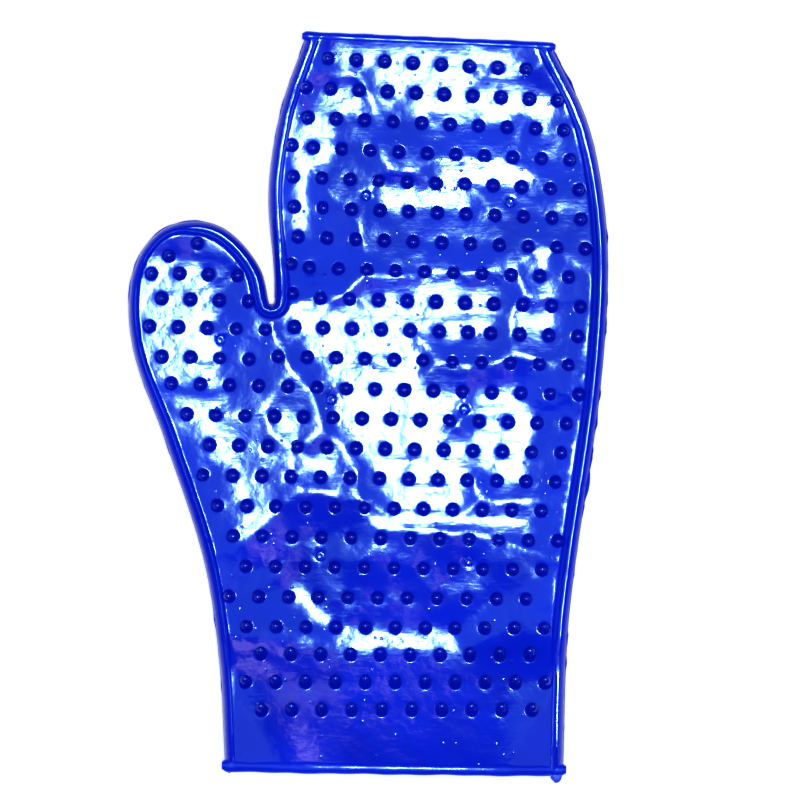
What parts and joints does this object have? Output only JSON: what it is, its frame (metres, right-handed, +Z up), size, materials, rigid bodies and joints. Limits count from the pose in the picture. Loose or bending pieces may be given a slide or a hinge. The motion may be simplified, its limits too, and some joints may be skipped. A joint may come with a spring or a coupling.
{
  "type": "grooming mitt",
  "caption": "Flexible nubbed grooming mitt with a thumb, open at the wrist and at the fingertips, lying flat on its back.",
  "frame": {"origin": "on the surface the mitt rests on, under the middle of its outline's bounding box", "axes": "+Y points to the fingertips, the thumb is on the -X side, +Z points up out of the palm"},
  "size_m": [0.1525, 0.2395, 0.0202],
  "materials": {
    "nubbed_sheet": "glossy translucent blue",
    "side_seam": "glossy translucent blue",
    "edge_bead": "glossy translucent blue",
    "moulding_tag": "thin glossy flash"
  },
  "bodies": {
    "root": {"palm_sheet": "nubbed_sheet", "back_sheet": "nubbed_sheet", "thumb_side_seam": "side_seam", "outer_side_seam": "side_seam", "palm_cuff_bead": "edge_bead", "back_cuff_bead": "edge_bead", "palm_finger_bead": "edge_bead", "back_finger_bead": "edge_bead", "outer_cuff_tag": "moulding_tag", "thumb_cuff_tag": "moulding_tag"}
  },
  "joints": []
}
